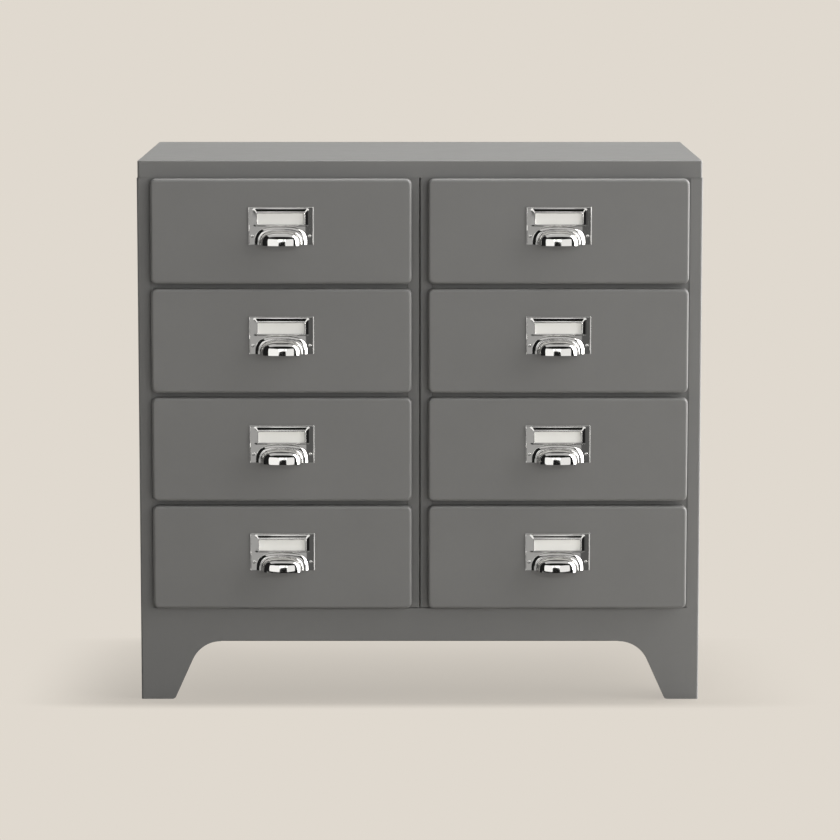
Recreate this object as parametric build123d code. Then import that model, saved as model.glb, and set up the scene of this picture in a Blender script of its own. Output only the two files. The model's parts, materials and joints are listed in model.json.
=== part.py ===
"""A small metal drawer cabinet: eight drawers in two columns, in a folded-sheet casing on arched legs.

Millimetres. X runs to the right, Y from the front to the back and Z up. The origin is on the floor, in the
middle of the cabinet's overall width and depth, pulls included.
"""

import os
from itertools import pairwise
from math import cos, copysign, pi, radians, sin, tan

from build123d import *

os.makedirs("parts", exist_ok=True)

# ---- the casing -------------------------------------------------------------------------------------
CABINET_W = 680.0
CABINET_H = 658.0
CASE_D = 380.0
SHEET = 1.0  # thickness of the casing's sheet
BEND_R = 2.5  # outside radius of the casing's long bends
EDGE_R = 1.6  # outside radius of the smaller folds
STILE_W = 15.0  # front flange beside the drawers
FASCIA_H = 20.7  # front edge of the top tray
TOP_INSET = 1.0  # the top tray is this much narrower than the sides, left and right
TOP_JOINT = 0.6  # shadow joint under the top tray
TRAY_RETURN = 14.0  # flange turned in under the top tray
APRON_TOP = 113.1
ARCH_TOP = 71.7
FOOT_W = 40.8  # leg's width on the floor
LEG_SLANT = 24.3  # degrees from upright of the leg's inner edge
ARCH_R = 38.0  # round corner between leg and apron
FOOT_R = 5.0  # rounded toe of the leg
LEG_LIP = 9.0  # lip folded back round the arch
APRON_FLANGE = 20.0
BACK_LIP = 12.0
FLOOR_FLANGE = 15.0
GLIDE = 28.0  # side of a corner glide
GLIDE_H = 6.0

# ---- the inner front frame and the rear posts -------------------------------------------------------
OVERLAP = 6.0  # a closed drawer front covers the inner frame by this much all round
CHANNEL_D = 25.0  # depth of jambs, uprights and posts
JAMB_W = 19.0
RAIL_D = 20.0
UPRIGHT_SEAM = 0.8  # between the two centre uprights

# ---- the drawers ------------------------------------------------------------------------------------
COLUMNS = 2
ROWS = 4
ROW_GAP = 5.6
COLUMN_GAP = 19.6
SIDE_GAP = 1.5  # beside the stile
FASCIA_GAP = 0.6
APRON_GAP = 1.2
DRAWER_PROUD = 13.0  # how far a closed front stands out of the stiles
FRONT_CORNER_R = 7.3
FRONT_EDGE_R = 3.6
TRAY_SHEET = 0.8
TRAY_L = 360.0
TRAY_RISE = 2.0  # tray's underside above the rail
TRAY_HEADROOM = 4.0
SCREW_WINDOW = 7.0  # square hole in the tray behind each screw
TRAVEL = 270.0

# ---- the slides -------------------------------------------------------------------------------------
GUIDE_SHEET = 1.0
GUIDE_FLANGE = 9.0
GUIDE_SETBACK = 2.0  # guide's front end behind the face of the inner frame
GUIDE_END_GAP = 1.5
WALL_CLEAR = 1.0  # tray wall to the guide's flanges
LIP_CLEAR = 1.0  # above and below the sliding lip
EAR_CLEAR = 0.75  # lip's ear to the guide's web
STOP_DEPTH = 1.5  # by which the ear and the stop tab cross
TAB_L = 2.0
EAR_L = 12.0
STOP_GAP = 0.5  # ear to stop tab when the drawer is fully out

# ---- the pull ---------------------------------------------------------------------------------------
PULL_W = 78.6
PULL_H = 45.3
PULL_SHEET = 0.9
PULL_DROP = 33.4  # from the front's top edge to the pull's
PULL_PROJECTION = 22.0
RIM_W = 1.6
RIM_PROUD = 1.2
POCKET_W = 65.0
POCKET_H = 20.5
POCKET_PROUD = 1.3
POCKET_TOP_GAP = 2.4
POCKET_CORNER = 1.2
WINDOW_W = 56.0
WINDOW_H = 13.2
WINDOW_CORNER = 1.2
WINDOW_RISE = 2.0  # window's sill above the pocket's lower edge
CUP_W = 62.4
CUP_H = 21.9
CUP_RIM_PROUD = 3.0
CUP_STEP = 3.2  # ledge between the cup's rim and its dome
CUP_FULLNESS = 2.6  # exponent of the arch: 2 is an ellipse, more has squarer shoulders
CUP_SIDES = 12
DOME_FULLNESS = 2.4  # the same for the dome's profile
DOME_STEPS = 4
DOME_END = 68.0  # degrees along the profile where the dome's small flat nose begins
CARD_W = 60.0
CARD_H = 17.6
CARD_T = 0.4
SCREW_X = 34.4
SCREW_Z = 10.1
SCREW_R = 1.45
SCREW_CLEAR = 0.2
SCREW_SIDES = 8
SCREW_L = 5.0  # under the head
HEAD_R = 2.5
HEAD_H = 1.5
HEAD_CHAMFER = 0.7
SLOT_W = 0.8
SLOT_DEPTH = 0.7

# ---- worked out from the above ----------------------------------------------------------------------
HALF_W = CABINET_W / 2
Y_BACK = (CASE_D + DRAWER_PROUD + PULL_PROJECTION) / 2
Y_FRONT = Y_BACK - CASE_D
Y_FRAME = Y_FRONT + SHEET  # face of the inner frame, against the backs of the stiles
Y_FACE = Y_FRONT - DRAWER_PROUD
Y_BACK_PANEL = Y_BACK - SHEET  # outer face of the back panel, against the rear flanges
Y_POST = Y_BACK_PANEL - SHEET
FASCIA_Z = CABINET_H - FASCIA_H
SIDE_TOP = FASCIA_Z - TOP_JOINT
ARCH_CORNER = ARCH_R * tan(radians(90 - LEG_SLANT) / 2)
LEG_REACH = FOOT_W + ARCH_TOP * tan(radians(LEG_SLANT)) + ARCH_CORNER
STILE_X = HALF_W - STILE_W
FLOOR_Z = APRON_TOP + SHEET  # upper face of the bottom panel
FRONT_W = STILE_X - SIDE_GAP - COLUMN_GAP / 2
COLUMN_X = (STILE_X - SIDE_GAP + COLUMN_GAP / 2) / 2
FRONT_H = (FASCIA_Z - FASCIA_GAP - APRON_TOP - APRON_GAP - (ROWS - 1) * ROW_GAP) / ROWS
ROW_PITCH = FRONT_H + ROW_GAP
ROW_Z = APRON_TOP + APRON_GAP
PASSAGE_W = FRONT_W - 2 * OVERLAP
UPRIGHT_X = COLUMN_X - PASSAGE_W / 2  # side of the centre upright that faces the drawers
JAMB_X = COLUMN_X + PASSAGE_W / 2  # side of the outer jamb that faces the drawers
TRAY_Z = OVERLAP + TRAY_RISE  # above the lower edge of the drawer's front
TRAY_H = FRONT_H - 2 * OVERLAP - TRAY_RISE - TRAY_HEADROOM
TRAY_TOP = TRAY_Z + TRAY_H
TRAY_W = PASSAGE_W - 2 * (GUIDE_SHEET + GUIDE_FLANGE + WALL_CLEAR)
EAR_X = PASSAGE_W / 2 - GUIDE_SHEET - EAR_CLEAR
LIP_X = EAR_X - STOP_DEPTH
Y_TRAY = Y_FACE + SHEET
Y_GUIDE = Y_FRAME + GUIDE_SETBACK
Y_GUIDE_END = Y_POST - SHEET - GUIDE_END_GAP
PULL_Z = FRONT_H - PULL_DROP - PULL_H
POCKET_Z = PULL_H - POCKET_TOP_GAP - POCKET_H
GUIDE_LOW = TRAY_TOP - TRAY_SHEET - LIP_CLEAR - GUIDE_SHEET
GUIDE_HIGH = TRAY_TOP + LIP_CLEAR + GUIDE_SHEET


# ---- ways of making sheet ---------------------------------------------------------------------------
def block(x0, x1, y0, y1, z0, z1):
    """A rectangular solid between two corners."""
    solid = Box(x1 - x0, y1 - y0, z1 - z0, align=(Align.MIN, Align.MIN, Align.MIN))
    return Pos(x0, y0, z0) * solid


def strip(points, thickness, radius=0, side=Side.LEFT):
    """The section of a folded strip: a line of folds, sharp or of a radius, thickened to one side."""
    line = FilletPolyline(*points, radius=radius) if radius else Polyline(*points)
    band = line.offset_2d(thickness, kind=Kind.INTERSECTION, side=side, closed=True)
    return make_face(band.edges())


def one_flat(radius):
    """The chamfer whose flat touches the middle of a square edge's round."""
    return radius * (1 - tan(radians(45 / 2)))


def three_flats(solid, radius):
    """The edges of a solid's front face rounded in three flats, each tangent to the round."""
    front = solid.faces().sort_by(Axis.Y)[0]
    solid = chamfer(front.edges(), one_flat(radius))
    reach = front.center().Y + radius
    rims = [e for e in solid.edges() if e.center().Y < reach and e.bounding_box().size.Y < radius / 100]
    return chamfer(rims, radius * (tan(radians(45 / 2)) - tan(radians(45 / 4))))


def faceted(rings):
    """A solid of flat facets through a row of like outlines, closed by the first and the last."""
    outlines = [rings[0], rings[-1]]
    for near, far in pairwise(rings):
        around = list(zip(near, far))
        outlines += [(a, c, d, b) for (a, b), (c, d) in pairwise(around + around[:1])]
    faces = [make_face(Polyline(*points, close=True).edges()).face() for points in outlines]
    return Solid(Shell(faces))


def along_x(section, start, end):
    """A section drawn in Y and Z, carried along X."""
    return extrude(Plane.YZ.offset(start) * section, amount=end - start)


def along_y(section, start, end):
    """A section drawn in X and Z, carried along Y."""
    return extrude(Plane.XZ.offset(-start) * section, amount=start - end)


def along_z(section, start, end):
    """A section drawn in X and Y, carried along Z."""
    return extrude(Plane.XY.offset(start) * section, amount=end - start)


def mirrored(solid):
    """The same piece for the other side of the cabinet."""
    return mirror(solid, about=Plane.YZ)


def arch_opening(span):
    """The space between two legs that stand a span apart, outside to outside, with a strip under the floor."""
    foot = span / 2 - FOOT_W
    knee = foot - ARCH_TOP * tan(radians(LEG_SLANT))
    below, beyond = -2 * FOOT_R, span / 2 + FOOT_R
    outline = make_face(
        Polyline(
            (-beyond, below), (beyond, below), (beyond, 0), (foot, 0), (knee, ARCH_TOP),
            (-knee, ARCH_TOP), (-foot, 0), (-beyond, 0), close=True,
        ).edges()
    )
    corners = outline.vertices()
    knees = [v for v in corners if abs(v.Y - ARCH_TOP) < 0.1]
    outline = fillet(knees, ARCH_R)
    toes = [v for v in outline.vertices() if abs(v.Y) < 0.1 and abs(abs(v.X) - foot) < 0.1]
    return fillet(toes, FOOT_R)


def arch_lip(span, ends):
    """The lip round an arch, as a ribbon as wide as the sheet, kept where the flange reaches."""
    opening = arch_opening(span)
    ribbon = offset(opening, amount=SHEET) - opening
    low, high = ends
    keep = Pos((low + high) / 2, ARCH_TOP / 2 + SHEET) * Rectangle(high - low, ARCH_TOP)
    return ribbon & keep


# ---- the casing -------------------------------------------------------------------------------------
def side_panel():
    """The right side: side, stile, legs and rear flange folded from one sheet, arched between the legs."""
    reach = HALF_W - LEG_REACH
    channel = strip(
        [(reach, Y_FRONT), (HALF_W, Y_FRONT), (HALF_W, Y_BACK), (reach, Y_BACK)], SHEET, BEND_R
    )
    panel = along_z(channel, 0, SIDE_TOP)
    # above the apron the flanges are only as wide as the stile
    panel -= block(0, STILE_X, Y_FRONT - SHEET, Y_BACK + SHEET, APRON_TOP, CABINET_H)
    # the arches between the front legs, the rear legs and the legs of this side
    panel -= along_y(arch_opening(CABINET_W), Y_FRONT - SHEET, Y_BACK + SHEET)
    middle = (Y_FRONT + Y_BACK) / 2
    panel -= along_x(Pos(middle, 0) * arch_opening(CASE_D), HALF_W - BEND_R, HALF_W + SHEET)
    # the lips folded in round the arches
    flange_lip = arch_lip(CABINET_W, (reach, HALF_W - FOOT_W + SHEET))
    panel += along_y(flange_lip, Y_FRONT, Y_FRONT + LEG_LIP)
    panel += along_y(flange_lip, Y_BACK - LEG_LIP, Y_BACK)
    web_lip = arch_lip(CASE_D, (FOOT_W - CASE_D / 2 - SHEET, CASE_D / 2 - FOOT_W + SHEET))
    panel += along_x(Pos(middle, 0) * web_lip, HALF_W - LEG_LIP, HALF_W)
    return panel


def top_tray():
    """The top: a shallow tray upside down, with its lower edges turned in."""
    x = HALF_W - TOP_INSET
    body = block(-x, x, Y_FRONT, Y_BACK, FASCIA_Z, CABINET_H)
    body = fillet(body.edges().filter_by(Axis.Z), BEND_R)
    body = fillet(body.faces().sort_by(Axis.Z)[-1].edges(), EDGE_R)
    inner = x - SHEET
    hollow = block(
        -inner, inner, Y_FRONT + SHEET, Y_BACK - SHEET, FASCIA_Z + SHEET, CABINET_H - SHEET
    )
    mouth = block(
        TRAY_RETURN - x, x - TRAY_RETURN, Y_FRONT + TRAY_RETURN, Y_BACK - TRAY_RETURN,
        FASCIA_Z - SHEET, FASCIA_Z + 2 * SHEET,
    )
    return body - hollow - mouth


def front_apron():
    """The rail between the front legs, with a flange at the top for the bottom panel and a lip below."""
    section = strip(
        [
            (Y_FRONT + APRON_FLANGE, APRON_TOP), (Y_FRONT, APRON_TOP),
            (Y_FRONT, ARCH_TOP), (Y_FRONT + LEG_LIP, ARCH_TOP),
        ],
        SHEET, EDGE_R,
    )
    return along_x(section, LEG_REACH - HALF_W, HALF_W - LEG_REACH)


def bottom_panel():
    """The floor of the casing, with its sides turned down against the side panels."""
    x = HALF_W - SHEET
    section = strip(
        [(-x, FLOOR_Z - FLOOR_FLANGE), (-x, FLOOR_Z), (x, FLOOR_Z), (x, FLOOR_Z - FLOOR_FLANGE)],
        SHEET, side=Side.RIGHT,
    )
    return along_y(section, Y_FRONT + BEND_R, Y_BACK - BEND_R)


def back_panel():
    """The back, behind the rear flanges' inner faces, with its lower edge turned in over the rear arch."""
    section = strip(
        [(Y_BACK_PANEL - BACK_LIP, ARCH_TOP), (Y_BACK_PANEL, ARCH_TOP), (Y_BACK_PANEL, FASCIA_Z)],
        SHEET,
    )
    x = HALF_W - BEND_R
    panel = along_x(section, -x, x)
    # the turned-in edge stops at the rear legs
    for side in (-1, 1):
        low, high = sorted((side * (HALF_W - LEG_REACH), side * HALF_W))
        panel -= block(
            low, high, Y_BACK_PANEL - BACK_LIP - SHEET, Y_POST, ARCH_TOP - SHEET, ARCH_TOP + LEG_LIP
        )
        panel -= block(low, high, Y_POST - SHEET, Y_BACK, 0, ARCH_TOP + 2 * SHEET)
    return panel


def channel(x0, x1, y_face, depth, radius=0):
    """An upright channel with its web at y_face and its flanges running towards y_face + depth."""
    ends = y_face + depth
    points = [(x0, ends), (x0, y_face), (x1, y_face), (x1, ends)]
    side = Side.LEFT if depth > 0 else Side.RIGHT
    return along_z(strip(points, SHEET, radius, side), FLOOR_Z, FASCIA_Z)


def centre_upright():
    """The right one of the two uprights that stand back to back behind the middle seam."""
    return channel(UPRIGHT_SEAM / 2, UPRIGHT_X, Y_FRAME, CHANNEL_D, EDGE_R)


def front_jamb():
    """The right jamb of the inner frame, behind the stile."""
    return channel(JAMB_X, JAMB_X + JAMB_W, Y_FRAME, CHANNEL_D)


def rear_post():
    """The right rear post, which carries the outer guides' rear ends."""
    return channel(JAMB_X, JAMB_X + JAMB_W, Y_POST, -CHANNEL_D)


def rear_post_centre():
    """The rear post between the columns."""
    return channel(-UPRIGHT_X, UPRIGHT_X, Y_POST, -CHANNEL_D)


def front_rail(low, high):
    """A rail of the inner frame between two heights, across the right column."""
    section = strip(
        [(Y_FRAME + RAIL_D, low), (Y_FRAME, low), (Y_FRAME, high), (Y_FRAME + RAIL_D, high)],
        SHEET, side=Side.RIGHT,
    )
    return along_x(section, UPRIGHT_X, JAMB_X)


def front_rails():
    """The rails of the right column: one under, one over and one between each two drawers."""
    edges = [FLOOR_Z]
    for row in range(ROWS):
        bottom = ROW_Z + row * ROW_PITCH
        edges += [bottom + OVERLAP, bottom + FRONT_H - OVERLAP]
    edges.append(FASCIA_Z)
    return [front_rail(low, high) for low, high in zip(edges[::2], edges[1::2])]


def corner_glide():
    """The glide inside the right front foot, cut to the fold of the leg."""
    x, y = HALF_W - SHEET, Y_FRONT + SHEET
    glide = block(x - GLIDE, x, y, y + GLIDE, 0, GLIDE_H)
    corner = glide.edges().filter_by(Axis.Z).sort_by(Axis.X)[-2:].sort_by(Axis.Y)[0]
    return chamfer(corner, BEND_R)


# ---- the slides -------------------------------------------------------------------------------------
def guide():
    """The guide channel on the right of a drawer's tray, with a stop tab at its front end."""
    x = PASSAGE_W / 2
    tip = x - GUIDE_SHEET - GUIDE_FLANGE
    section = strip(
        [(tip, GUIDE_LOW), (x, GUIDE_LOW), (x, GUIDE_HIGH), (tip, GUIDE_HIGH)],
        GUIDE_SHEET,
    )
    inner = x - GUIDE_SHEET
    tab = block(
        inner - STOP_DEPTH, inner + GUIDE_SHEET / 2, Y_GUIDE, Y_GUIDE + TAB_L,
        GUIDE_LOW + GUIDE_SHEET / 2, GUIDE_HIGH - GUIDE_SHEET / 2,
    )
    return along_y(section, Y_GUIDE, Y_GUIDE_END) + tab


# ---- a drawer, with its column's middle at X 0 and its front's lower edge at Z 0 ---------------------
def screw_places():
    """Where the two screws of a pull go through."""
    return [(side * SCREW_X, PULL_Z + SCREW_Z) for side in (-1, 1)]


def drilled(solid, y0, y1):
    """The solid with a hole for each screw between two depths."""
    hole = RegularPolygon(SCREW_R + SCREW_CLEAR, SCREW_SIDES)
    for x, z in screw_places():
        solid -= along_y(Pos(x, z) * hole, y0, y1)
    return solid


def front_outline():
    """Corners of a drawer front's outline: each round corner is three flats, tangent to it."""
    reach = FRONT_CORNER_R / cos(radians(45 / 4))
    points = []
    for step in range(16):
        angle = radians(45 / 4 + 22.5 * step)
        x = copysign(FRONT_W / 2 - FRONT_CORNER_R, cos(angle))
        z = copysign(FRONT_H / 2 - FRONT_CORNER_R, sin(angle))
        points.append((x + reach * cos(angle), FRONT_H / 2 + z + reach * sin(angle)))
    return points


def drawer_front():
    """The front: a pressed pan with round corners and a round front edge, open at the back."""
    outline = [[(x, y, z) for x, z in front_outline()] for y in (Y_FRONT, Y_FACE)]
    body = three_flats(faceted(outline), FRONT_EDGE_R)
    x = FRONT_W / 2 - SHEET
    hollow = block(-x, x, Y_FACE + SHEET, Y_FRONT + SHEET, SHEET, FRONT_H - SHEET)
    hollow = chamfer(hollow.edges().filter_by(Axis.Y), one_flat(FRONT_CORNER_R - SHEET))
    hollow = chamfer(hollow.faces().sort_by(Axis.Y)[0].edges(), one_flat(FRONT_EDGE_R - SHEET))
    return drilled(body - hollow, Y_FACE - SHEET, Y_FACE + 2 * SHEET)


def drawer_tray():
    """The tray: floor, walls and outward lips folded from one sheet, with two end walls."""
    w, lip = TRAY_W / 2, TRAY_TOP - TRAY_SHEET
    section = strip(
        [(-LIP_X, lip), (-w, lip), (-w, TRAY_Z), (w, TRAY_Z), (w, lip), (LIP_X, lip)], TRAY_SHEET
    )
    y_end = Y_TRAY + TRAY_L
    tray = along_y(section, Y_TRAY, y_end)
    tray += block(-w, w, Y_TRAY, Y_TRAY + TRAY_SHEET, TRAY_Z, TRAY_TOP)
    tray += block(-w, w, y_end - TRAY_SHEET, y_end, TRAY_Z, TRAY_TOP)
    # the ears on the lips, which meet the guides' stop tabs when the drawer is out
    y_ear = Y_GUIDE + TAB_L + STOP_GAP + TRAVEL
    tray += block(-EAR_X, EAR_X, y_ear, y_ear + EAR_L, lip, TRAY_TOP) - block(
        -w, w, y_ear, y_ear + EAR_L, TRAY_Z, TRAY_TOP + SHEET
    )
    for x, z in screw_places():
        half = SCREW_WINDOW / 2
        tray -= block(x - half, x + half, Y_TRAY - SHEET, Y_TRAY + 2 * SHEET, z - half, z + half)
    return tray


def cup_outline(half_width, height, foot):
    """Corners of a flattened arch: |x / half_width| and |z / height|, each to the power CUP_FULLNESS, add to 1.
    Its sides reach a foot below its lower edge, where the cup's hollow runs out."""
    points = [(half_width, -foot), (half_width, 0.0)]
    for step in range(1, CUP_SIDES):
        angle = pi * step / CUP_SIDES
        across = copysign(abs(cos(angle)) ** (2 / CUP_FULLNESS), cos(angle))
        points.append((half_width * across, height * sin(angle) ** (2 / CUP_FULLNESS)))
    points += [(-half_width, 0.0), (-half_width, -foot)]
    return points if foot else points[1:-1]


def cup_ring(outline, depth):
    """An outline of the cup, set at a depth in front of the drawer's face."""
    return [(x, Y_FACE - depth, PULL_Z + z) for x, z in outline]


def cup_solid(inward, foot):
    """The cup's outer form, or its hollow where inward is the wall: a rim, a ledge and a dome on it."""
    rim = cup_outline(CUP_W / 2 - inward, CUP_H - inward, foot)
    solid = faceted([cup_ring(rim, 0), cup_ring(rim, CUP_RIM_PROUD - inward)])
    w, h = CUP_W / 2 - CUP_STEP - inward, CUP_H - CUP_STEP - inward
    start = CUP_RIM_PROUD - 2 * PULL_SHEET
    depth = PULL_PROJECTION - inward - start
    nose = sin(radians(DOME_END)) ** (2 / DOME_FULLNESS)
    rings = []
    for step in range(DOME_STEPS + 1):
        angle = radians(DOME_END * step / DOME_STEPS)
        share = cos(angle) ** (2 / DOME_FULLNESS)
        out = depth * sin(angle) ** (2 / DOME_FULLNESS) / nose
        rings.append(cup_ring(cup_outline(w * share, h * share, foot), start + out))
    return solid + faceted(rings)


def drawer_pull():
    """The pull: a pressed plate with a folded rim, a raised label pocket with its window, and a cup."""
    x, top = PULL_W / 2, PULL_Z + PULL_H
    y = Y_FACE - PULL_SHEET
    pull = block(-x, x, y - RIM_PROUD, Y_FACE, PULL_Z, top)
    pull -= block(RIM_W - x, x - RIM_W, y - RIM_PROUD, y, PULL_Z - RIM_W, top - RIM_W)
    low, high = PULL_Z + POCKET_Z, PULL_Z + POCKET_Z + POCKET_H
    raised = block(-POCKET_W / 2, POCKET_W / 2, y - POCKET_PROUD, Y_FACE, low, high)
    raised = chamfer(raised.edges().filter_by(Axis.Y), POCKET_CORNER)
    raised = chamfer(raised.faces().sort_by(Axis.Y)[0].edges(), POCKET_PROUD / 2)
    pull += raised
    pull += cup_solid(0, 0)
    # pressed hollow from behind: the card's pocket and the cup's inside
    wall = PULL_SHEET
    pull -= block(
        wall - POCKET_W / 2, POCKET_W / 2 - wall, Y_FACE - POCKET_PROUD, Y_FACE, low + wall, high - wall
    )
    pull -= cup_solid(wall, PULL_SHEET)
    sill = low + WINDOW_RISE
    window = chamfer(Rectangle(WINDOW_W, WINDOW_H).vertices(), WINDOW_CORNER)
    pull -= along_y(Pos(0, sill + WINDOW_H / 2) * window, y - 2 * POCKET_PROUD, Y_FACE)
    return drilled(pull, y - SHEET, Y_FACE)


def label_card():
    """The blank card, which stands in the pocket against the back of the window."""
    low = PULL_Z + POCKET_Z + PULL_SHEET
    y = Y_FACE - POCKET_PROUD
    return block(-CARD_W / 2, CARD_W / 2, y, y + CARD_T, low, low + CARD_H)


def pull_screws():
    """Two slotted screws that hold the pull to the front, with their points in the tray's square holes."""
    screws = []
    y_head = Y_FACE - PULL_SHEET
    for x, z in screw_places():
        head = along_y(Pos(x, z) * RegularPolygon(HEAD_R, SCREW_SIDES), y_head - HEAD_H, y_head)
        head = chamfer(head.faces().sort_by(Axis.Y)[0].edges(), HEAD_CHAMFER)
        shank = along_y(Pos(x, z) * RegularPolygon(SCREW_R, SCREW_SIDES), y_head, y_head + SCREW_L)
        half, y_slot = SLOT_W / 2, y_head - HEAD_H
        slot = block(x - half, x + half, y_slot - SHEET, y_slot + SLOT_DEPTH, z - HEAD_R, z + HEAD_R)
        screws.append(head + shank - slot)
    return screws


# ---- writing the pieces -----------------------------------------------------------------------------
def write(name, solids):
    """One STEP file, of one solid or of several that stay apart."""
    solids = solids if isinstance(solids, list) else [solids]
    export_step(Compound(children=[s for piece in solids for s in piece.solids()]), f"parts/{name}.step")


def both_sides(name, solids):
    """A piece of the right half and its mirror image, as name_right and name_left."""
    write(f"{name}_right", solids)
    write(f"{name}_left", [mirrored(s) for s in solids] if isinstance(solids, list) else mirrored(solids))


def main():
    both_sides("side_panel", side_panel())
    write("top_tray", top_tray())
    write("front_apron", front_apron())
    write("bottom_panel", bottom_panel())
    write("back_panel", back_panel())
    both_sides("centre_upright", centre_upright())
    both_sides("front_jamb", front_jamb())
    both_sides("rear_post", rear_post())
    write("rear_post_centre", rear_post_centre())
    both_sides("front_rails", front_rails())

    right_guide = guide()
    for name, piece in (("outer", right_guide), ("inner", mirrored(right_guide))):
        column = [Pos(COLUMN_X, 0, ROW_Z + row * ROW_PITCH) * piece for row in range(ROWS)]
        both_sides(f"guides_{name}", column)

    glide = corner_glide()
    rear = mirror(glide, about=Plane.XZ.offset(-(Y_FRONT + Y_BACK) / 2))
    write("corner_glides", [glide, rear, mirrored(glide), mirrored(rear)])

    pieces = {
        "tray": drawer_tray(),
        "front": drawer_front(),
        "pull": drawer_pull(),
        "label_card": label_card(),
        "screws": pull_screws(),
    }
    for number in range(ROWS * COLUMNS):
        row, column = divmod(number, COLUMNS)
        place = Pos((2 * column - 1) * COLUMN_X, 0, ROW_Z + (ROWS - 1 - row) * ROW_PITCH)
        for kind, piece in pieces.items():
            solids = piece if isinstance(piece, list) else [piece]
            write(f"drawer_{number + 1}_{kind}", [place * s for s in solids])


main()
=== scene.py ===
# %% [markdown]
# # A small metal drawer cabinet
# The real cabinet is folded sheet steel with a satin powder coat: a casing on four short legs, and eight
# drawers in two columns. Each drawer front carries a chrome pull that is a label holder and a cup in one.
# The CAD frame has the true sizes and the joints. This script gives it finishes, replaces the faceted
# drawer fronts, pulls and screws with smooth ones, and sets up a plain studio.

import json
import math

import bmesh
import bpy
import numpy as np
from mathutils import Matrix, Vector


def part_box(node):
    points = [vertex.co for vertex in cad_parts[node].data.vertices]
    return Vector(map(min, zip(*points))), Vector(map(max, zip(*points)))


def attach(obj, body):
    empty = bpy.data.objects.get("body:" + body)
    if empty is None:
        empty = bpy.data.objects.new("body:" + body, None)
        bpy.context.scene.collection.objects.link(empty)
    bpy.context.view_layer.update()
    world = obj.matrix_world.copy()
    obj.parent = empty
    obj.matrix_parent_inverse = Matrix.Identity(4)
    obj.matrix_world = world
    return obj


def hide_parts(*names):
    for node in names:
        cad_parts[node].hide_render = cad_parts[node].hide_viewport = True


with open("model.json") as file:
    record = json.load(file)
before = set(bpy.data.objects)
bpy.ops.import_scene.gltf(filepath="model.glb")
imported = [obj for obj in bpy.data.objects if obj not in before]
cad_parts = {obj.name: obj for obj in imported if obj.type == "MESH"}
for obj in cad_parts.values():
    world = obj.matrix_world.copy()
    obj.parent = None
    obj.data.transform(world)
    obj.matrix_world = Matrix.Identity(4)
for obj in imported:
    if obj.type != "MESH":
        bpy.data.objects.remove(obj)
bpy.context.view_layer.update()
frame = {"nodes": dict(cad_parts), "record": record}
nodes = frame["nodes"]
MM = 0.001
DRAWERS = range(1, 9)

# %% [markdown]
# The photograph was taken from straight in front with a long lens, from a little above the top. A long lens
# far away keeps the sides almost parallel and shows only a thin strip of the top. The distance, height,
# downward tilt and focal length below were worked out from the corners of the body in the picture.

# %% The camera
CAMERA_PLACE = (0.0002, -4.6434, 0.9428)
CAMERA_TILT = 7.629  # degrees below the horizon
LENS = 159.71

camera_data = bpy.data.cameras.new("camera")
camera_data.lens = LENS
camera_data.clip_end = 50
camera = bpy.data.objects.new("camera", camera_data)
camera.location = CAMERA_PLACE
camera.rotation_euler = (math.radians(90 - CAMERA_TILT), 0, 0)
bpy.context.scene.collection.objects.link(camera)
bpy.context.scene.camera = camera
bpy.context.scene.view_settings.view_transform = "Standard"
print("camera", CAMERA_PLACE, "lens", LENS)


# %% [markdown]
# Materials are node trees. A few short helpers keep them readable: one adds a node with its settings, and one
# makes a shader node group with named sockets, so that an effect is built once and placed in many materials.

# %% Helpers for node trees
def add(tree, kind, inputs=None, **settings):
    """Adds one node, sets its properties and either fills or links its inputs."""
    node = tree.nodes.new(kind)
    for key, value in settings.items():
        setattr(node, key, value)
    for key, value in (inputs or {}).items():
        if isinstance(value, bpy.types.NodeSocket):
            tree.links.new(value, node.inputs[key])
        else:
            node.inputs[key].default_value = value
    return node


def new_group(name, inputs, outputs):
    """An empty shader node group: inputs are (name, type, default), outputs are (name, type)."""
    tree = bpy.data.node_groups.new(name, "ShaderNodeTree")
    for socket, kind, default in inputs:
        tree.interface.new_socket(socket, in_out="INPUT", socket_type=kind).default_value = default
    for socket, kind in outputs:
        tree.interface.new_socket(socket, in_out="OUTPUT", socket_type=kind)
    return tree, tree.nodes.new("NodeGroupInput").outputs, tree.nodes.new("NodeGroupOutput").inputs


def place(tree, group, **inputs):
    """Puts a node group into a material, with named inputs."""
    node = tree.nodes.new("ShaderNodeGroup")
    node.node_tree = group
    for key, value in inputs.items():
        socket = node.inputs[key.replace("_", " ")]
        if isinstance(value, bpy.types.NodeSocket):
            tree.links.new(value, socket)
        else:
            socket.default_value = value
    return node.outputs


def new_material(name):
    """A material with only its output, and the object coordinates its patterns are laid out in."""
    material = bpy.data.materials.new(name)
    material.use_nodes = True
    tree = material.node_tree
    tree.nodes.clear()
    where = add(tree, "ShaderNodeTexCoord").outputs["Object"]
    return material, tree, where


def finish_material(tree, shader):
    add(tree, "ShaderNodeOutputMaterial", {"Surface": shader})


print("node helpers ready")

# %% [markdown]
# Powder coat is sprayed as dust and melted in an oven. It never levels quite flat: close up it has a soft
# orange-peel relief a millimetre or two across, with much finer grain on top. Two noises of those sizes are
# added into one height, which a Bump node in the material turns into a normal.

# %% Relief of a sprayed coat
def noise(tree, where, scale, detail=2.0, roughness=0.5, distortion=0.0):
    """A noise texture that is laid out in metres."""
    return add(
        tree, "ShaderNodeTexNoise",
        {"Vector": where, "Scale": scale, "Detail": detail, "Roughness": roughness, "Distortion": distortion},
    ).outputs["Fac"]


def math_node(tree, operation, a, b=0.0, c=0.0, clamp=False):
    """One Math node."""
    return add(tree, "ShaderNodeMath", {0: a, 1: b, 2: c}, operation=operation, use_clamp=clamp).outputs[0]


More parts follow.
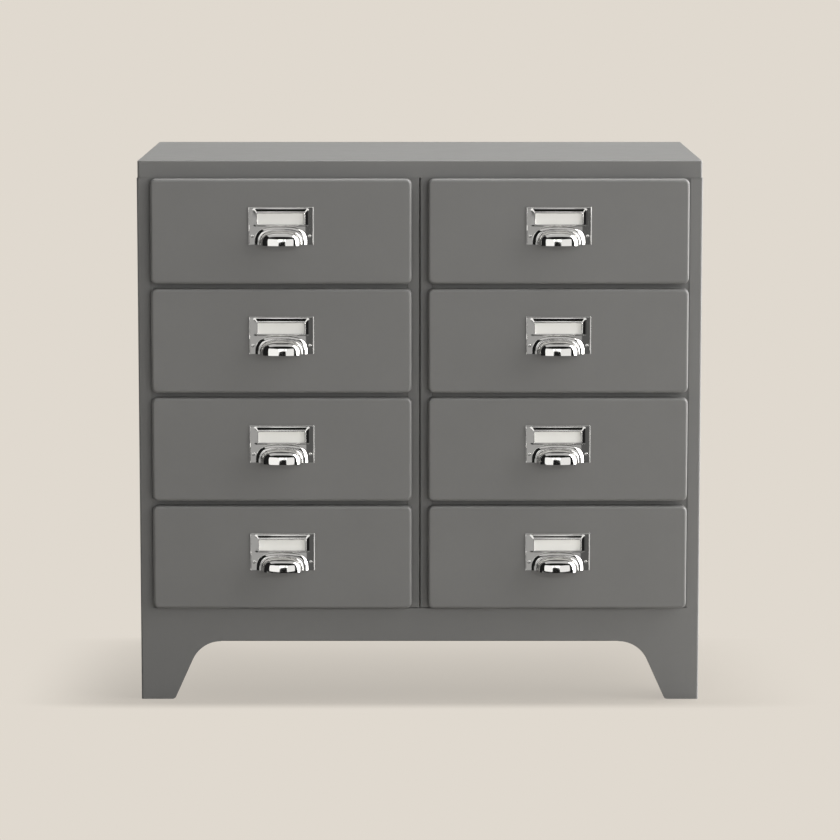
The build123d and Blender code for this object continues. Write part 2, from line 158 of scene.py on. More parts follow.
peel_group, given, out = new_group(
    "coat_relief",
    [("Vector", "NodeSocketVector", (0, 0, 0)), ("Peel", "NodeSocketFloat", 1.0), ("Grain", "NodeSocketFloat", 0.3)],
    [("Height", "NodeSocketFloat")],
)
peel = math_node(peel_group, "MULTIPLY", noise(peel_group, given["Vector"], 520, 1.0), given["Peel"])
grain = math_node(peel_group, "MULTIPLY", noise(peel_group, given["Vector"], 2600, 2.0), given["Grain"])
peel_group.links.new(math_node(peel_group, "ADD", peel, grain), out["Height"])
print("coat_relief:", len(peel_group.nodes), "nodes")

# %% [markdown]
# No real surface is one even tone. Thin dust, wiping and the batch of powder change it by a few percent over
# a hand's width. This group turns one large noise and one small one into a factor near 1 for the colour and
# an offset for the roughness.

# %% Uneven tone
uneven_group, given, out = new_group(
    "uneven_tone",
    [
        ("Vector", "NodeSocketVector", (0, 0, 0)), ("Color", "NodeSocketColor", (0.5, 0.5, 0.5, 1)),
        ("Amount", "NodeSocketFloat", 0.05), ("Roughness", "NodeSocketFloat", 0.4),
        ("Smudge", "NodeSocketFloat", 0.05),
    ],
    [("Color", "NodeSocketColor"), ("Roughness", "NodeSocketFloat")],
)
broad = noise(uneven_group, given["Vector"], 9, 3.0, 0.6)
fine = noise(uneven_group, given["Vector"], 240, 3.0, 0.6)
mixed = math_node(uneven_group, "ADD", math_node(uneven_group, "MULTIPLY", broad, 0.75),
                  math_node(uneven_group, "MULTIPLY", fine, 0.25))
centred = math_node(uneven_group, "SUBTRACT", mixed, 0.5)
factor = math_node(uneven_group, "MULTIPLY_ADD", centred, given["Amount"], 1.0)
scaled = add(uneven_group, "ShaderNodeVectorMath", {0: given["Color"], "Scale": factor}, operation="SCALE")
uneven_group.links.new(scaled.outputs["Vector"], out["Color"])
smear = noise(uneven_group, given["Vector"], 34, 4.0, 0.65, 0.6)
smeared = math_node(uneven_group, "MULTIPLY_ADD", math_node(uneven_group, "SUBTRACT", smear, 0.5),
                    given["Smudge"], given["Roughness"])
uneven_group.links.new(smeared, out["Roughness"])
print("uneven_tone:", len(uneven_group.nodes), "nodes")

# %% [markdown]
# The paint is a warm mid grey with a satin sheen. Its colour was set by comparing the render with the
# photograph on the drawer fronts, which face the camera squarely.

# %% Grey satin powder coat
paint, tree, where = new_material("grey_powder_coat")
tone = place(tree, uneven_group, Vector=where, Color=(0.150, 0.150, 0.148, 1), Amount=0.16,
             Roughness=0.36, Smudge=0.10)
height = place(tree, peel_group, Vector=where, Peel=1.0, Grain=0.35)["Height"]
bump = add(tree, "ShaderNodeBump", {"Height": height, "Strength": 0.22, "Distance": 0.00012})
paint_shader = add(
    tree, "ShaderNodeBsdfPrincipled",
    {"Base Color": tone["Color"], "Roughness": tone["Roughness"], "Normal": bump.outputs["Normal"],
     "Specular IOR Level": 0.5},
)
finish_material(tree, paint_shader.outputs["BSDF"])
print("paint ready")

# %% [markdown]
# The pulls are bright chrome over pressed steel. Chrome is a mirror: almost all that one sees in it is the
# studio. Only faint wiping marks in the roughness and a very slight waviness of the pressing are its own.

# %% Chrome
chrome, tree, where = new_material("bright_chrome")
tone = place(tree, uneven_group, Vector=where, Color=(0.74, 0.735, 0.72, 1), Amount=0.05,
             Roughness=0.055, Smudge=0.05)
wave = noise(tree, where, 160, 1.0)
bump = add(tree, "ShaderNodeBump", {"Height": wave, "Strength": 0.12, "Distance": 0.00005})
chrome_shader = add(
    tree, "ShaderNodeBsdfPrincipled",
    {"Base Color": tone["Color"], "Metallic": 1.0, "Roughness": tone["Roughness"],
     "Normal": bump.outputs["Normal"]},
)
finish_material(tree, chrome_shader.outputs["BSDF"])
print("chrome ready")

# %% [markdown]
# The label cards are blank: uncoated white card. Its fibres are thin streaks, which come from a noise that
# is squeezed in one direction, once along and once across.

# %% Card
card, tree, where = new_material("white_card")
along = add(tree, "ShaderNodeMapping", {"Vector": where, "Scale": (500, 3000, 4000)}).outputs["Vector"]
across = add(tree, "ShaderNodeMapping", {"Vector": where, "Scale": (4000, 3000, 700)}).outputs["Vector"]
fibres = math_node(tree, "ADD", noise(tree, along, 1.0, 3.0), noise(tree, across, 1.0, 3.0))
tone = place(tree, uneven_group, Vector=where, Color=(0.80, 0.80, 0.78, 1), Amount=0.05,
             Roughness=0.85, Smudge=0.05)
bump = add(tree, "ShaderNodeBump", {"Height": fibres, "Strength": 0.35, "Distance": 0.00006})
card_shader = add(
    tree, "ShaderNodeBsdfPrincipled",
    {"Base Color": tone["Color"], "Roughness": tone["Roughness"], "Normal": bump.outputs["Normal"],
     "Specular IOR Level": 0.25},
)
finish_material(tree, card_shader.outputs["BSDF"])
print("card ready")

# %% [markdown]
# The guides inside are bright zinc-plated steel. Rolling leaves fine lines along the strip, so the noise is
# stretched along Y, the way the drawers run.

# %% Zinc-plated steel
zinc, tree, where = new_material("zinc_plated_steel")
rolled = add(tree, "ShaderNodeMapping", {"Vector": where, "Scale": (2200, 25, 2200)}).outputs["Vector"]
lines = noise(tree, rolled, 1.0, 3.0)
tone = place(tree, uneven_group, Vector=where, Color=(0.56, 0.56, 0.55, 1), Amount=0.25,
             Roughness=0.34, Smudge=0.15)
bump = add(tree, "ShaderNodeBump", {"Height": lines, "Strength": 0.3, "Distance": 0.00004})
zinc_shader = add(
    tree, "ShaderNodeBsdfPrincipled",
    {"Base Color": tone["Color"], "Metallic": 1.0, "Roughness": tone["Roughness"],
     "Normal": bump.outputs["Normal"]},
)
finish_material(tree, zinc_shader.outputs["BSDF"])
print("zinc ready")

# %% [markdown]
# The glides under the feet are black nylon, matt and slightly grained, with an uneven tone and gloss.

# %% Black nylon
nylon, tree, where = new_material("black_nylon")
tone = place(tree, uneven_group, Vector=where, Color=(0.025, 0.025, 0.026, 1), Amount=0.4,
             Roughness=0.6, Smudge=0.2)
height = place(tree, peel_group, Vector=where, Peel=0.4, Grain=1.0)["Height"]
bump = add(tree, "ShaderNodeBump", {"Height": height, "Strength": 0.3, "Distance": 0.0001})
nylon_shader = add(
    tree, "ShaderNodeBsdfPrincipled",
    {"Base Color": tone["Color"], "Roughness": tone["Roughness"], "Normal": bump.outputs["Normal"]},
)
finish_material(tree, nylon_shader.outputs["BSDF"])
print("nylon ready")


# %% [markdown]
# Every CAD node that stays visible takes one of these finishes. The part's record says which slot a node
# belongs to, so one table from slot to material is enough.

# %% Finishes for the CAD nodes
FINISHES = {"paint": paint, "chrome": chrome, "card": card, "guides": zinc, "glides": nylon}

for entry in frame["record"]["subparts"]:
    mesh = nodes[entry["node"]].data
    mesh.materials.clear()
    mesh.materials.append(FINISHES[entry["material_slot"]])


# %% [markdown]
# New pieces are surfaces: arrays of points in rows and columns, joined by four-cornered faces. A closed
# piece has its last column joined to its first, and a row that shrinks to one point closes an end like a
# pole. Points that fall together are merged, and the faces are turned to point outwards.

# %% From grids of points to a piece
SAME_POINT = 1e-6  # metres
SHARP_FROM = math.radians(42)


def grid_faces(rows, columns, ring):
    """Corner numbers of the faces between neighbours; in a ring the last column joins the first."""
    r, c = np.meshgrid(np.arange(rows - 1), np.arange(columns if ring else columns - 1), indexing="ij")
    right = (c + 1) % columns
    corners = [r * columns + c, r * columns + right, (r + 1) * columns + right, (r + 1) * columns + c]
    return np.stack(corners, -1).reshape(-1, 4)


def make_piece(name, surfaces, material, slot, body, *stands_for):
    """A mesh object in metres from surfaces in mm, each (points in rows and columns, whether it is a ring)."""
    points, faces, count = [], [], 0
    for surface, ring in surfaces:
        rows, columns = surface.shape[:2]
        faces.append(grid_faces(rows, columns, ring) + count)
        points.append(surface.reshape(-1, 3) * MM)
        count += rows * columns
    mesh = bpy.data.meshes.new(name)
    mesh.from_pydata(np.concatenate(points), [], np.concatenate(faces))
    work = bmesh.new()
    work.from_mesh(mesh)
    bmesh.ops.remove_doubles(work, verts=work.verts, dist=SAME_POINT)
    bmesh.ops.recalc_face_normals(work, faces=work.faces)
    work.to_mesh(mesh)
    work.free()
    mesh.shade_smooth()
    mesh.set_sharp_from_angle(angle=SHARP_FROM)
    mesh.materials.append(material)
    piece = bpy.data.objects.new(name, mesh)
    bpy.context.scene.collection.objects.link(piece)
    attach(piece, body)
    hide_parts(*stands_for)
    return piece


print("piece maker ready")

# %% [markdown]
# A drawer front is a shallow pan pressed from one sheet. Its corners and its front edge are round, and its
# side runs back to the casing. It is one profile carried round a rounded rectangle: the profile starts in
# the middle of the face, turns over the edge, runs back along the side, and returns inside the sheet.

# %% Rounded rectangles
def rounded_rectangle(half_width, half_height, radius, arc=9):
    """Points round a rectangle whose corners are quarter circles. The three sizes may be arrays, one for
    each ring: the result has a row for each ring, and X and Z in the last place."""
    half_width, half_height, radius = (np.reshape(v, (-1, 1, 1)) for v in (half_width, half_height, radius))
    turn = np.arange(4)[:, None] * np.pi / 2 + np.linspace(0, np.pi / 2, arc)
    side_x = np.array([1, -1, -1, 1])[:, None]
    side_z = np.array([1, 1, -1, -1])[:, None]
    x = side_x * (half_width - radius) + radius * np.cos(turn)
    z = side_z * (half_height - radius) + radius * np.sin(turn)
    return np.stack([x, z], -1).reshape(x.shape[0], -1, 2)


FRONT_LOW, FRONT_HIGH = (np.array(corner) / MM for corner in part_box("drawer_1_front"))
FRONT_W, FRONT_D, FRONT_H = FRONT_HIGH - FRONT_LOW
FRONT_CORNER = 7.3
FRONT_EDGE = 3.6
FRONT_LIP = 0.25  # roundness of the sheet's cut edge at the back
SHEET = 1.0
print("drawer front", np.round([FRONT_W, FRONT_D, FRONT_H], 1), "mm")


# %% The pan's profile
def pan_profile():
    """How far in from the outline and how far behind the face each ring lies. The round edge is a quarter
    circle; the inside follows it one sheet further in."""
    turn = np.linspace(0, np.pi / 2, 9)
    outer = np.stack([FRONT_EDGE * (1 - np.sin(turn)), FRONT_EDGE * (1 - np.cos(turn))], 1)
    inner_radius = FRONT_EDGE - SHEET
    inner = SHEET + inner_radius * np.stack([1 - np.sin(turn), 1 - np.cos(turn)], 1)
    lip = FRONT_LIP
    back = [(0, FRONT_D - lip), (lip / 3, FRONT_D - lip / 3), (lip, FRONT_D), (SHEET - lip, FRONT_D),
            (SHEET - lip / 3, FRONT_D - lip / 3), (SHEET, FRONT_D - lip)]
    flat = [(FRONT_EDGE + 0.6, 0)]
    inside = [(FRONT_EDGE + 0.6, SHEET)]
    return np.concatenate([flat, outer, back, inner[::-1], inside])


def pan_surface(centre_x, low_z):
    """The whole pan: rings of the profile, closed by a point in the middle of either face."""
    inset, behind = pan_profile().T
    radius = np.maximum(FRONT_CORNER - inset, 0.6)
    rings = rounded_rectangle(FRONT_W / 2 - inset, FRONT_H / 2 - inset, radius)
    y = FRONT_LOW[1] + np.broadcast_to(behind[:, None], rings.shape[:2])
    surface = np.stack([rings[..., 0] + centre_x, y, rings[..., 1] + low_z + FRONT_H / 2], -1)
    ends = surface[[0, -1]].mean(axis=1, keepdims=True).repeat(surface.shape[1], axis=1)
    return np.concatenate([ends[:1], surface, ends[1:]])


for n in DRAWERS:
    low, high = (np.array(corner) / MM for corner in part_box(f"drawer_{n}_front"))
    surface = pan_surface((low[0] + high[0]) / 2, low[2])
    front = make_piece(f"drawer_{n}_pan", [(surface, True)], paint, "paint", f"drawer_{n}", f"drawer_{n}_front")
print("drawer fronts:", len(front.data.polygons), "faces each")

# %% [markdown]
# A pull is pressed from one sheet of steel and chromed. From the outside in it has a flat plate with a round
# bead along three edges, a raised pocket that frames the label card, and a hollow cup for the fingers. Each
# of these forms is a surface of its own that starts inside the plate, so they meet without gaps. They are
# worked out round a pull at the origin: X to the right, D out of the drawer's face and Z up from its foot.

# %% Sizes of a pull, in mm
PULL_W, PULL_H, PULL_OUT = 78.6, 45.3, 22.0
WALL = 0.9
BEAD_W, BEAD_H = 1.6, 1.2
POCKET = {"half": (33.2, 10.9), "corner": 2.6, "middle": 32.65, "flank": (3.9, 2.9), "sink": 1.7}
WINDOW = {"half": (28.0, 6.6), "corner": 1.5, "middle": 31.0, "flank": (1.0, 1.0), "sink": 0.0}
POCKET_OUT = 2.7
CUP_W, CUP_H, CUP_FULLNESS = 62.4, 21.9, 2.9
DOME_FULLNESS = 2.6
FALL_FROM, FALL = 28.5, 0.085  # where the plate starts to fall away, and how steeply
FOOT_RUN, FOOT_RISE, LAND = 3.6, 2.6, 1.1  # the cup's foot and the flat land above it
DOME_INSET, TOP_SHARE, LEAN = 6.3, 0.8, 0.08


def slab(front, back):
    """The surfaces of a solid between two grids of the same shape: both grids and the four edges."""
    edges = [(front[0], back[0]), (front[-1], back[-1]), (front[:, 0], back[:, 0]), (front[:, -1], back[:, -1])]
    return [(front, False), (back, False)] + [(np.stack(pair), False) for pair in edges]


def on_drawer(surfaces, n):
    """Moves surfaces of (X, D, Z) to the place of drawer n's pull, with Y running into the cabinet."""
    low, high = (np.array(corner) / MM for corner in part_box(f"drawer_{n}_pull"))
    place = np.array([(low[0] + high[0]) / 2, high[1], low[2]])
    return [(place + surface * (1, -1, 1), ring) for surface, ring in surfaces]


print("pull", PULL_W, "x", PULL_H, "mm")


# %% [markdown]
# The plate is a height over a grid of X and Z. The bead is the upper half of an ellipse across the strip
# next to the edge. Pressed sheet never stays flat: beside the pocket the plate falls away by a few degrees
# towards either edge, so its left strip mirrors the light floor and its right strip the dark.

# %% The plate
def bead_height(from_edge, width, height):
    """Half an ellipse: height * sqrt(1 - t^2), with t from -1 at the edge to 1 at the far side."""
    across = np.clip(2 * from_edge / width - 1, -1, 1)
    return height * np.sqrt(1 - across**2)


def plate():
    """Height = wall + bead - fall, on grid lines that crowd together where the bead is round."""
    crowd = BEAD_W * (1 - np.cos(np.linspace(0, np.pi, 11))) / 2
    inner = np.linspace(BEAD_W, PULL_W - BEAD_W, 90)[1:-1]
    x = np.concatenate([crowd, inner, PULL_W - crowd[::-1]]) - PULL_W / 2
    z = np.concatenate([np.linspace(0, PULL_H - BEAD_W, 40)[:-1], PULL_H - crowd[::-1]])
    x, z = np.meshgrid(x, z)
    from_edge = np.minimum(PULL_W / 2 - np.abs(x), PULL_H - z)
    strip = np.clip(np.abs(x) - FALL_FROM, 0, PULL_W / 2 - BEAD_W / 2 - FALL_FROM)
    fall = FALL * (strip**2 / (strip + 1.5))
    height = WALL + bead_height(from_edge, BEAD_W, BEAD_H) - fall
    return slab(np.stack([x, height, z], -1), np.stack([x, np.zeros_like(x), z], -1))


print("plate grid", plate()[0][0].shape)


# %% [markdown]
# The pocket is a profile carried round rounded rectangles: a soft S-shaped flank up from the plate, the flat
# frame, a thin bead round the window, and the cut edge of the window down to the card. The flank is wide
# along the top and the sides and narrow above the cup, so every ring has an inset of its own for X and for Z
# and sinks a little.

# %% The label pocket
def quarter(start, end, bulge, steps=7):
    """A quarter of an ellipse from one point of a profile to another; bulge 1 rises first, 0 runs first."""
    t = np.linspace(0, np.pi / 2, steps)
    slow, fast = 1 - np.cos(t), np.sin(t)
    first, second = (slow, fast) if bulge else (fast, slow)
    start, end = np.array(start, float), np.array(end, float)
    return start + (end - start) * np.stack([first, second], 1)


def pocket():
    """Rings of (inset, height), insets first from the pocket's outline and then from the window's. The flank's
    steepness min(t, 0.15, 1 - t), added up along its width, gives its height: a slope with round ends."""
    t = np.linspace(0, 1, 21)
    steep = np.minimum(np.minimum(t, 1 - t), 0.15)
    climb = np.concatenate([[0], np.cumsum(steep[1:] + steep[:-1])])
    outer = np.concatenate([
        [(-0.3, 0.3)], np.stack([t, WALL - 0.04 + (POCKET_OUT - WALL + 0.04) * climb / climb[-1]], 1)
    ])
    inner = np.concatenate([[(-1.3, POCKET_OUT)], quarter((-1.1, POCKET_OUT), (-0.55, POCKET_OUT + 0.45), 1),
                            quarter((-0.5, POCKET_OUT + 0.45), (0, POCKET_OUT), 0), [(0, 0.95)]])
    rings = []
    for frame_part, profile in ((POCKET, outer), (WINDOW, inner)):
        inset, height = profile.T
        half_w, half_h = frame_part["half"]
        wide, high = frame_part["flank"]
        ring = rounded_rectangle(half_w - inset * wide, half_h - inset * high,
                                 np.maximum(frame_part["corner"] - inset * high * 0.5, 0.3))
        height = np.broadcast_to(height[:, None], ring.shape[:2])
        middle = frame_part["middle"] - inset[:, None] * frame_part["sink"]
        rings.append(np.stack([ring[..., 0], height, ring[..., 1] + middle], -1))
    rings = np.concatenate(rings)
    return [(np.concatenate([rings, rings[:1]]), True)]


print("pocket grid", pocket()[0][0].shape)


# %% [markdown]
# The cup is the hard form. Its outline is a flattened arch, a superellipse. A sloping foot rises from the
# plate to a narrow flat land, and a hollow round leads from the land up into the dome. The dome's profile is
# a superellipse too: the arch shrinks towards the nose as it comes forward, fast at first and then slowly.
# Below it is open for the fingers, so the surface ends at the pull's foot, and an inner surface one wall
# further in closes it.

# %% The cup
def arch(half_width, height, steps=61):
    """Points of |x / half_width| and |z / height|, each to the power CUP_FULLNESS, adding to 1."""
    turn = np.linspace(0, np.pi, steps)
    half_width, height = np.reshape(half_width, (-1, 1)), np.reshape(height, (-1, 1))
    x = half_width * np.sign(np.cos(turn)) * np.abs(np.cos(turn)) ** (2 / CUP_FULLNESS)
    z = height * np.abs(np.sin(turn)) ** (2 / CUP_FULLNESS)
    return x, z


def cup_profile():
    """(inset, share, height): the foot of the cup, and then the dome, whose share of the arch is cos(t) and
    whose height is sin(t), each to the power 2 / DOME_FULLNESS."""
    t = np.linspace(0, 1, 7)
    slope = np.stack([FOOT_RUN * t, WALL + 0.3 + FOOT_RISE * (1.15 * t - 0.15 * t**2)], 1)
    land = WALL + 0.4 + FOOT_RISE
    steps = np.concatenate([
        [(-0.3, 0.3)], quarter((-0.6, WALL - 0.02), (-0.05, WALL + 0.25), 0, 5), slope,
        [(FOOT_RUN + 0.35, land), (FOOT_RUN + LAND, land)],
        quarter((FOOT_RUN + LAND + 0.1, land), (DOME_INSET, land + 1.5), 0, 9)[:-1],
    ])
    foot = np.stack([steps[:, 0], np.ones(len(steps)), steps[:, 1]], 1)
    turn = np.linspace(0, np.pi / 2, 56)
    share = np.cos(turn) ** (2 / DOME_FULLNESS)
    height = land + 1.5 + (PULL_OUT - land - 1.5) * np.sin(turn) ** (2 / DOME_FULLNESS)
    dome = np.stack([np.full(56, DOME_INSET), share, height], 1)
    dome[-1, 1] = 0
    return np.concatenate([foot, dome])


def cup():
    """The outer surface, and the inner one a wall further in. The steps are narrower along the top, and the
    nose leans back by LEAN times the height above the lip, so the lip still faces up a little."""
    inset, share, height = cup_profile().T
    lean = LEAN * np.clip((height[:, None] - 5.0) / (PULL_OUT - 5.0), 0, 1)
    x, z = arch((CUP_W / 2 - inset) * share, (CUP_H - inset * TOP_SHARE) * share)
    outer = np.stack([x, height[:, None] - lean * z, z], -1)
    inner_share = share * (1 - WALL / (CUP_H - 3))
    x, z = arch((CUP_W / 2 - inset - WALL / 2) * inner_share, (CUP_H - (inset + WALL / 2) * TOP_SHARE) * inner_share)
    inner = np.stack([x, np.clip(height[:, None] - WALL - lean * z, 0.05, None), z], -1)
    return slab(outer, inner)


print("cup grid", cup()[0][0].shape)

# %% One pull on every drawer
for n in DRAWERS:
    pull = make_piece(f"drawer_{n}_chrome_pull", on_drawer(plate() + pocket() + cup(), n), chrome, "chrome",
                      f"drawer_{n}", f"drawer_{n}_pull")
print("pulls:", len(pull.data.polygons), "faces each")

# %% [markdown]
# Two slotted screws hold each pull. The head is a low dome cut by a slot: its grid lines run along the slot,
# so that the slot's walls are straight. The shank has a thread, a ridge that winds round it.

# %% Screws
SCREW_X, SCREW_Z = 34.4, 10.1
HEAD_R, HEAD_OUT, SLOT = 2.0, 0.9, 0.32
SLOT_DEPTH = 0.5
RIM = 0.4  # height of the head's rim above the plate
CORE_R, RIDGE, PITCH = 1.28, 0.14, 0.7
SHANK_L, POINT_L = 5.0, 0.9


def screw_head(turned):
    """A low dome, height = rim + rise * (1 - r^2), over rows at distances u from the slot's middle."""
    u = HEAD_R * np.sin(np.linspace(-np.pi / 2, np.pi / 2, 31))
    u = u[np.abs(u) > SLOT + 0.05]
    wall = SLOT + 0.001
    u = np.sort(np.concatenate([u, [-wall, -SLOT, -SLOT / 2, 0, SLOT / 2, SLOT, wall]]))
    chord = np.sqrt(np.clip(HEAD_R**2 - u**2, 0, None))
    v = np.sin(np.linspace(-np.pi / 2, np.pi / 2, 17))
    along = chord[:, None] * v
    across = np.broadcast_to(u[:, None], along.shape)
    rise = RIM + (HEAD_OUT - RIM) * np.sqrt(np.clip(1 - (across**2 + along**2) / HEAD_R**2, 0, 1))
    height = WALL + np.where(np.abs(across) <= SLOT, rise - SLOT_DEPTH, rise)
    edge = np.stack([across[:, :1], np.full_like(along[:, :1], WALL - 0.3), along[:, :1]], -1)
    top = np.stack([across, height, along], -1)
    other = edge * (1, 1, -1)
    grid = np.concatenate([edge, top, other], 1)
    c, s = np.cos(turned), np.sin(turned)
    x, z = grid[..., 0] * c - grid[..., 2] * s, grid[..., 0] * s + grid[..., 2] * c
    return np.stack([x, grid[..., 1], z], -1)


def screw_shank():
    """Radius = core + ridge * cos(2 pi * (depth / pitch - angle / full turn)), tapering to the tip."""
    angle = np.linspace(0, 2 * np.pi, 20, endpoint=False)
    depth = np.linspace(-WALL + 0.2, SHANK_L, 60)[:, None]
    ridge = RIDGE * np.cos(2 * np.pi * (depth / PITCH) - angle)
    radius = np.where(depth > 0.9, CORE_R + ridge, CORE_R) * np.clip((SHANK_L - depth) / POINT_L, 0, 1) ** 0.5
    return np.stack([radius * np.cos(angle), -depth + 0 * angle, radius * np.sin(angle)], -1)


for n in DRAWERS:
    surfaces = []
    for side in (-1, 1):
        turned = math.radians((n * 47 + side * 31) % 180)
        at = np.array([side * SCREW_X, 0, SCREW_Z])
        surfaces += [(screw_head(turned) + at, True), (screw_shank() + at, True)]
    screws = make_piece(f"drawer_{n}_slotted_screws", on_drawer(surfaces, n), chrome, "chrome",
                        f"drawer_{n}", f"drawer_{n}_screws")
print("screws:", len(screws.data.polygons), "faces a pair")

# %% [markdown]
# The floor is a plain pale sweep. Under and close beside the cabinet it is partly an ordinary matt surface, so it
# keeps the cabinet's shadow, and partly a glow of the background's colour, which paints that shadow lighter;
# further out it fades into the colour of the background, which hides its edge. The fade goes by the distance
# from the footprint, and is quicker in front and behind; under the cabinet the share of the glowing background
# grows towards the back, a painted lightening of the shadow there. The light it bounces onto the cabinet comes
# from a brighter copy of its colour than the camera sees. Mirror rays pass through the floor to the studio
# below, and from below it is clear, so the underside can be looked at.

# %% The floor
BACKGROUND = (0.745, 0.694, 0.624, 1)
FLOOR_R = 2.6
FOOTPRINT = (0.34, 0.19, 0.0)  # half sizes in X and Y
STRETCH = (1.0, 3.5, 0.0)  # how much quicker the fade is in Y
FADE_REACH = 0.17
# The glowing background's share under the cabinet paints the real shadow lighter, most at the back.
LEAST_SHARE = {"front": 0.62, "back": 0.86}  # of the plain background, under the cabinet

floor_mesh = bpy.data.meshes.new("floor")
turn = np.linspace(0, 2 * np.pi, 96, endpoint=False)
floor_mesh.from_pydata(
    np.stack([FLOOR_R * np.cos(turn), FLOOR_R * np.sin(turn), np.full(96, -0.0002)], 1), [], [tuple(range(96))]
)
floor = bpy.data.objects.new("floor", floor_mesh)
bpy.context.scene.collection.objects.link(floor)

sweep, tree, where = new_material("pale_sweep")
lit = add(tree, "ShaderNodeBsdfDiffuse", {"Color": (0.26, 0.242, 0.218, 1)})
bounce = add(tree, "ShaderNodeBsdfDiffuse", {"Color": (0.50, 0.485, 0.46, 1)})
plain = add(tree, "ShaderNodeEmission", {"Color": BACKGROUND, "Strength": 1.0})
across = add(tree, "ShaderNodeVectorMath", {0: where}, operation="ABSOLUTE").outputs[0]
beyond = add(tree, "ShaderNodeVectorMath", {0: across, 1: FOOTPRINT}, operation="SUBTRACT").outputs[0]
outside = add(tree, "ShaderNodeVectorMath", {0: beyond, 1: (0, 0, 0)}, operation="MAXIMUM").outputs[0]
stretched = add(tree, "ShaderNodeVectorMath", {0: outside, 1: STRETCH}, operation="MULTIPLY").outputs[0]
distance = add(tree, "ShaderNodeVectorMath", {0: stretched}, operation="LENGTH").outputs["Value"]
depth = add(tree, "ShaderNodeSeparateXYZ", {"Vector": where}).outputs["Y"]
shares = {3: LEAST_SHARE["front"], 4: LEAST_SHARE["back"]}
least = add(tree, "ShaderNodeMapRange", {"Value": depth, 1: -0.19, 2: 0.20} | shares).outputs["Result"]
far = add(tree, "ShaderNodeMapRange", {"Value": distance, 1: 0.0, 2: FADE_REACH, 3: least, 4: 1.0},
          interpolation_type="SMOOTHSTEP").outputs["Result"]
path = add(tree, "ShaderNodeLightPath").outputs
# Real shadow on the lit floor, mixed with a glow of background colour that paints it lighter.
blend = add(tree, "ShaderNodeMixShader", {0: far, 1: lit.outputs[0], 2: plain.outputs[0]})
matt = add(tree, "ShaderNodeMixShader", {0: path["Is Camera Ray"], 1: bounce.outputs[0], 2: blend.outputs[0]})
clear = add(tree, "ShaderNodeBsdfTransparent")
below = add(tree, "ShaderNodeNewGeometry").outputs["Backfacing"]
through = math_node(tree, "MAXIMUM", path["Is Glossy Ray"], below)
seen = add(tree, "ShaderNodeMixShader", {0: through, 1: matt.outputs[0], 2: clear.outputs[0]})
finish_material(tree, seen.outputs[0])
floor_mesh.materials.append(sweep)
print("floor ready")

# %% [markdown]
# Chrome needs something to mirror. A product photographer surrounds it with large white panels and leaves
# dark gaps between them, which draw the black and white bands on the cups. The world below has the same
# panels, laid out by compass direction (0 is towards the camera, 90 to the right) and height in degrees; the
# camera itself sees only the plain background. The wall of light on the right is also the main light: it
# draws the bright line down the right edge of every drawer and leaves the left edges dark. The panels count
# for less as light on matt surfaces than in reflections, so that the right side keeps its grey.

# %% The studio around the cabinet
world = bpy.data.worlds.new("studio")
bpy.context.scene.world = world
world.use_nodes = True
tree = world.node_tree
tree.nodes.clear()
direction = add(tree, "ShaderNodeTexCoord").outputs["Generated"]
axes = add(tree, "ShaderNodeSeparateXYZ", {"Vector": direction}).outputs
bearing = math_node(tree, "ARCTAN2", axes["X"], math_node(tree, "MULTIPLY", axes["Y"], -1.0))
bearing = math_node(tree, "MULTIPLY", bearing, 180 / math.pi)
rise = math_node(tree, "MULTIPLY", math_node(tree, "ARCSINE", axes["Z"]), 180 / math.pi)


def band(value, start, end, soft):
    """1 between two angles and 0 outside, with soft edges."""
    up = add(tree, "ShaderNodeMapRange", {"Value": value, 1: start - soft, 2: start + soft},
             interpolation_type="SMOOTHSTEP").outputs["Result"]
    down = add(tree, "ShaderNodeMapRange", {"Value": value, 1: end - soft, 2: end + soft},
               interpolation_type="SMOOTHSTEP").outputs["Result"]
    return math_node(tree, "SUBTRACT", up, down)


WALLS = [  # bearings, heights, softness of the edges, brightness
    ((60, 151), (2, 62), 2.0, 4.2),  # the wall of light on the right
    ((66, 151), (-16, 2), 2.0, 4.2),
    ((151, 190), (25, 80), 4.0, 0.65),  # behind, in two parts that meet at 180
    ((-190, -128), (25, 80), 4.0, 0.65),
    ((-130, -103), (-16, 40), 2.0, 0.9),  # a strip behind on the left
    ((-62, 3.5), (-20, -3), 2.0, 0.42),  # the floor in front
    ((3.5, 40), (-20, -3), 2.0, 0.10),
    ((-43, 190), (-60, -20), 3.0, 0.20),
]
DARKNESS = 0.015
MATT_SHARE = 0.4  # how much of the panels' light reaches matt surfaces
LIGHT_COLOR = (1.0, 0.99, 0.97)
total = DARKNESS
for bearings, heights, soft, brightness in WALLS:
    mask = math_node(tree, "MULTIPLY", band(bearing, *bearings, soft), band(rise, *heights, soft))
    total = math_node(tree, "MULTIPLY_ADD", mask, brightness, total)
rays = add(tree, "ShaderNodeLightPath").outputs
matt_factor = math_node(tree, "MULTIPLY_ADD", rays["Is Diffuse Ray"], MATT_SHARE - 1, 1.0)
softened = math_node(tree, "MULTIPLY", total, matt_factor)
panels = add(tree, "ShaderNodeBackground", {"Color": (*LIGHT_COLOR, 1), "Strength": softened})
behind = add(tree, "ShaderNodeBackground", {"Color": BACKGROUND, "Strength": 1.0})
shown = add(tree, "ShaderNodeMixShader", {0: rays["Is Camera Ray"], 1: panels.outputs[0], 2: behind.outputs[0]})
add(tree, "ShaderNodeOutputWorld", {"Surface": shown.outputs[0]})
print("studio world:", len(tree.nodes), "nodes")

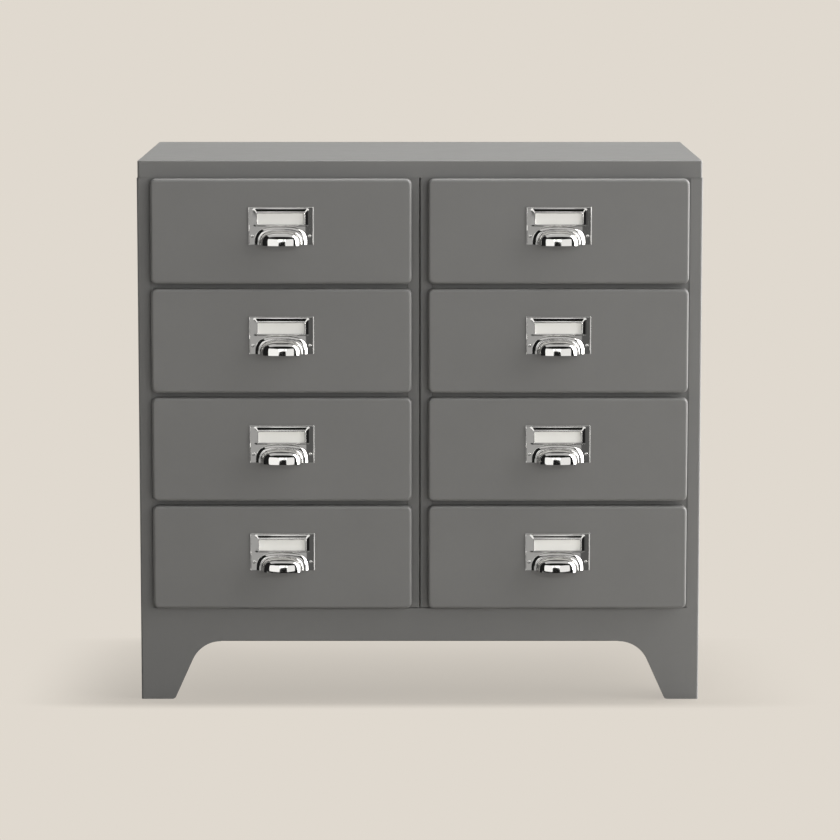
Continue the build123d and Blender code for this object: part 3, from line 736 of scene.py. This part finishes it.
# %% [markdown]
# Softboxes add to it. A large one on the right strengthens the wall of light, one overhead lights the top,
# one in front on the right fills the fronts, and one behind on the left keeps the left side and the
# back from going black. The last three are kept out of the mirror reflections. The reflector cards are the
# opposite: they stand in front, only to be seen in the chrome, and light nothing.

# %% Lamps
MIDDLE = Vector((0.0, -0.19, 0.38))


def lamp(name, place_at, width, height, brightness, lights, mirrored):
    """A rectangular area lamp that faces the cabinet. Its power is brightness * pi * area."""
    light = bpy.data.lights.new(name, "AREA")
    light.shape = "RECTANGLE"
    light.size, light.size_y = width, height
    light.energy = brightness * math.pi * width * height
    light.color = LIGHT_COLOR
    holder = bpy.data.objects.new(name, light)
    holder.location = place_at
    holder.rotation_euler = (MIDDLE - Vector(place_at)).to_track_quat("-Z", "Y").to_euler()
    holder.visible_diffuse, holder.visible_glossy, holder.visible_camera = lights, mirrored, False
    bpy.context.scene.collection.objects.link(holder)


def reflector(name, bearings, heights, brightness, away=8.0):
    """A card that covers a range of bearings and heights, both in degrees, as seen from the cabinet."""
    bearing, height = math.radians(sum(bearings) / 2), math.radians(sum(heights) / 2)
    level = away * math.cos(height)
    place_at = MIDDLE + Vector((level * math.sin(bearing), -level * math.cos(bearing), away * math.sin(height)))
    width, tall = (2 * away * math.tan(math.radians(abs(b - a) / 2)) for a, b in (bearings, heights))
    lamp(name, place_at, width, tall, brightness, False, True)


lamp("softbox_right", (2.6, -0.4, 1.4), 2.2, 2.2, 4.6, True, True)
lamp("softbox_top", (0.5, 0.2, 2.9), 1.6, 1.6, 12.2, True, False)
lamp("softbox_front", (2.2, -5.2, 1.6), 4.0, 2.6, 3.9, True, False)
lamp("softbox_back", (-2.0, 2.4, 1.7), 1.6, 1.6, 6.0, True, False)
reflector("reflector_left", (-43, -4.6), (-1, 38.5), 1.2)
reflector("reflector_middle", (4.6, 41), (-1, 38.5), 1.05)
reflector("reflector_gap", (-4.6, 4.6), (21, 38.5), 1.1)
reflector("reflector_overhead", (-31, 31), (63, 117), 0.62)
print("lamps ready")
